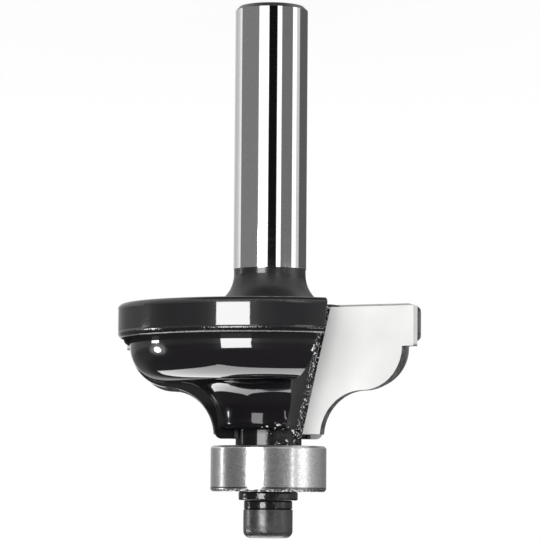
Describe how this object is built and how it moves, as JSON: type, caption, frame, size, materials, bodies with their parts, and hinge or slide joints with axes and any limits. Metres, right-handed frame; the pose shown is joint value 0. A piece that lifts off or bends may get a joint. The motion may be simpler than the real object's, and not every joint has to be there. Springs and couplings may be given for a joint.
{
  "type": "router bit",
  "caption": "Roman ogee router bit with a round shank, two carbide-tipped wings and a ball-bearing guide held by a cap screw.",
  "frame": {"origin": "centre of the shank's end face", "axes": "+Z along the bit's axis from the shank to the cutter and the screw; +X through the cutting edge of carbide_tip_2, whose rake face lies in the XZ plane"},
  "size_m": [0.035, 0.0332, 0.0585],
  "materials": {
    "black_lacquer": "gloss black lacquer over steel",
    "polished_steel": "polished",
    "ground_carbide": "fine ground, near mirror",
    "bearing_steel": "satin",
    "shield_steel": "satin",
    "spring_wire": "drawn wire",
    "cage_polymer": "moulded",
    "black_washer": "gloss black oxide",
    "blackened_screw": "matte black oxide"
  },
  "bodies": {
    "cutter": {"tool_body": "black_lacquer", "carbide_tip_1": "ground_carbide", "carbide_tip_2": "ground_carbide", "bearing_inner_ring": "bearing_steel", "flat_washer": "black_washer", "spring_washer": "black_washer", "cap_screw": "blackened_screw"},
    "guide": {"bearing_outer_ring": "bearing_steel", "shield_cutter_side": "shield_steel", "shield_screw_side": "shield_steel", "snap_ring_cutter_side": "spring_wire", "snap_ring_screw_side": "spring_wire"},
    "ball_set": {"bearing_ball_1": "polished_steel", "bearing_ball_2": "polished_steel", "bearing_ball_3": "polished_steel", "bearing_ball_4": "polished_steel", "bearing_ball_5": "polished_steel", "bearing_ball_6": "polished_steel", "bearing_ball_7": "polished_steel", "bearing_cage": "cage_polymer"}
  },
  "joints": [
    {"name": "guide_spin", "type": "hinge", "parent": "cutter", "child": "guide", "pos_m": [0, 0, 0.05096], "axis": [0, 0, 1], "continuous": true},
    {"name": "ball_set_spin", "type": "hinge", "parent": "cutter", "child": "ball_set", "pos_m": [0, 0, 0.05096], "axis": [0, 0, 1], "continuous": true}
  ],
  "couplings": [
    {"joint": "ball_set_spin", "follows": "guide_spin", "ratio": 0.63635}
  ]
}
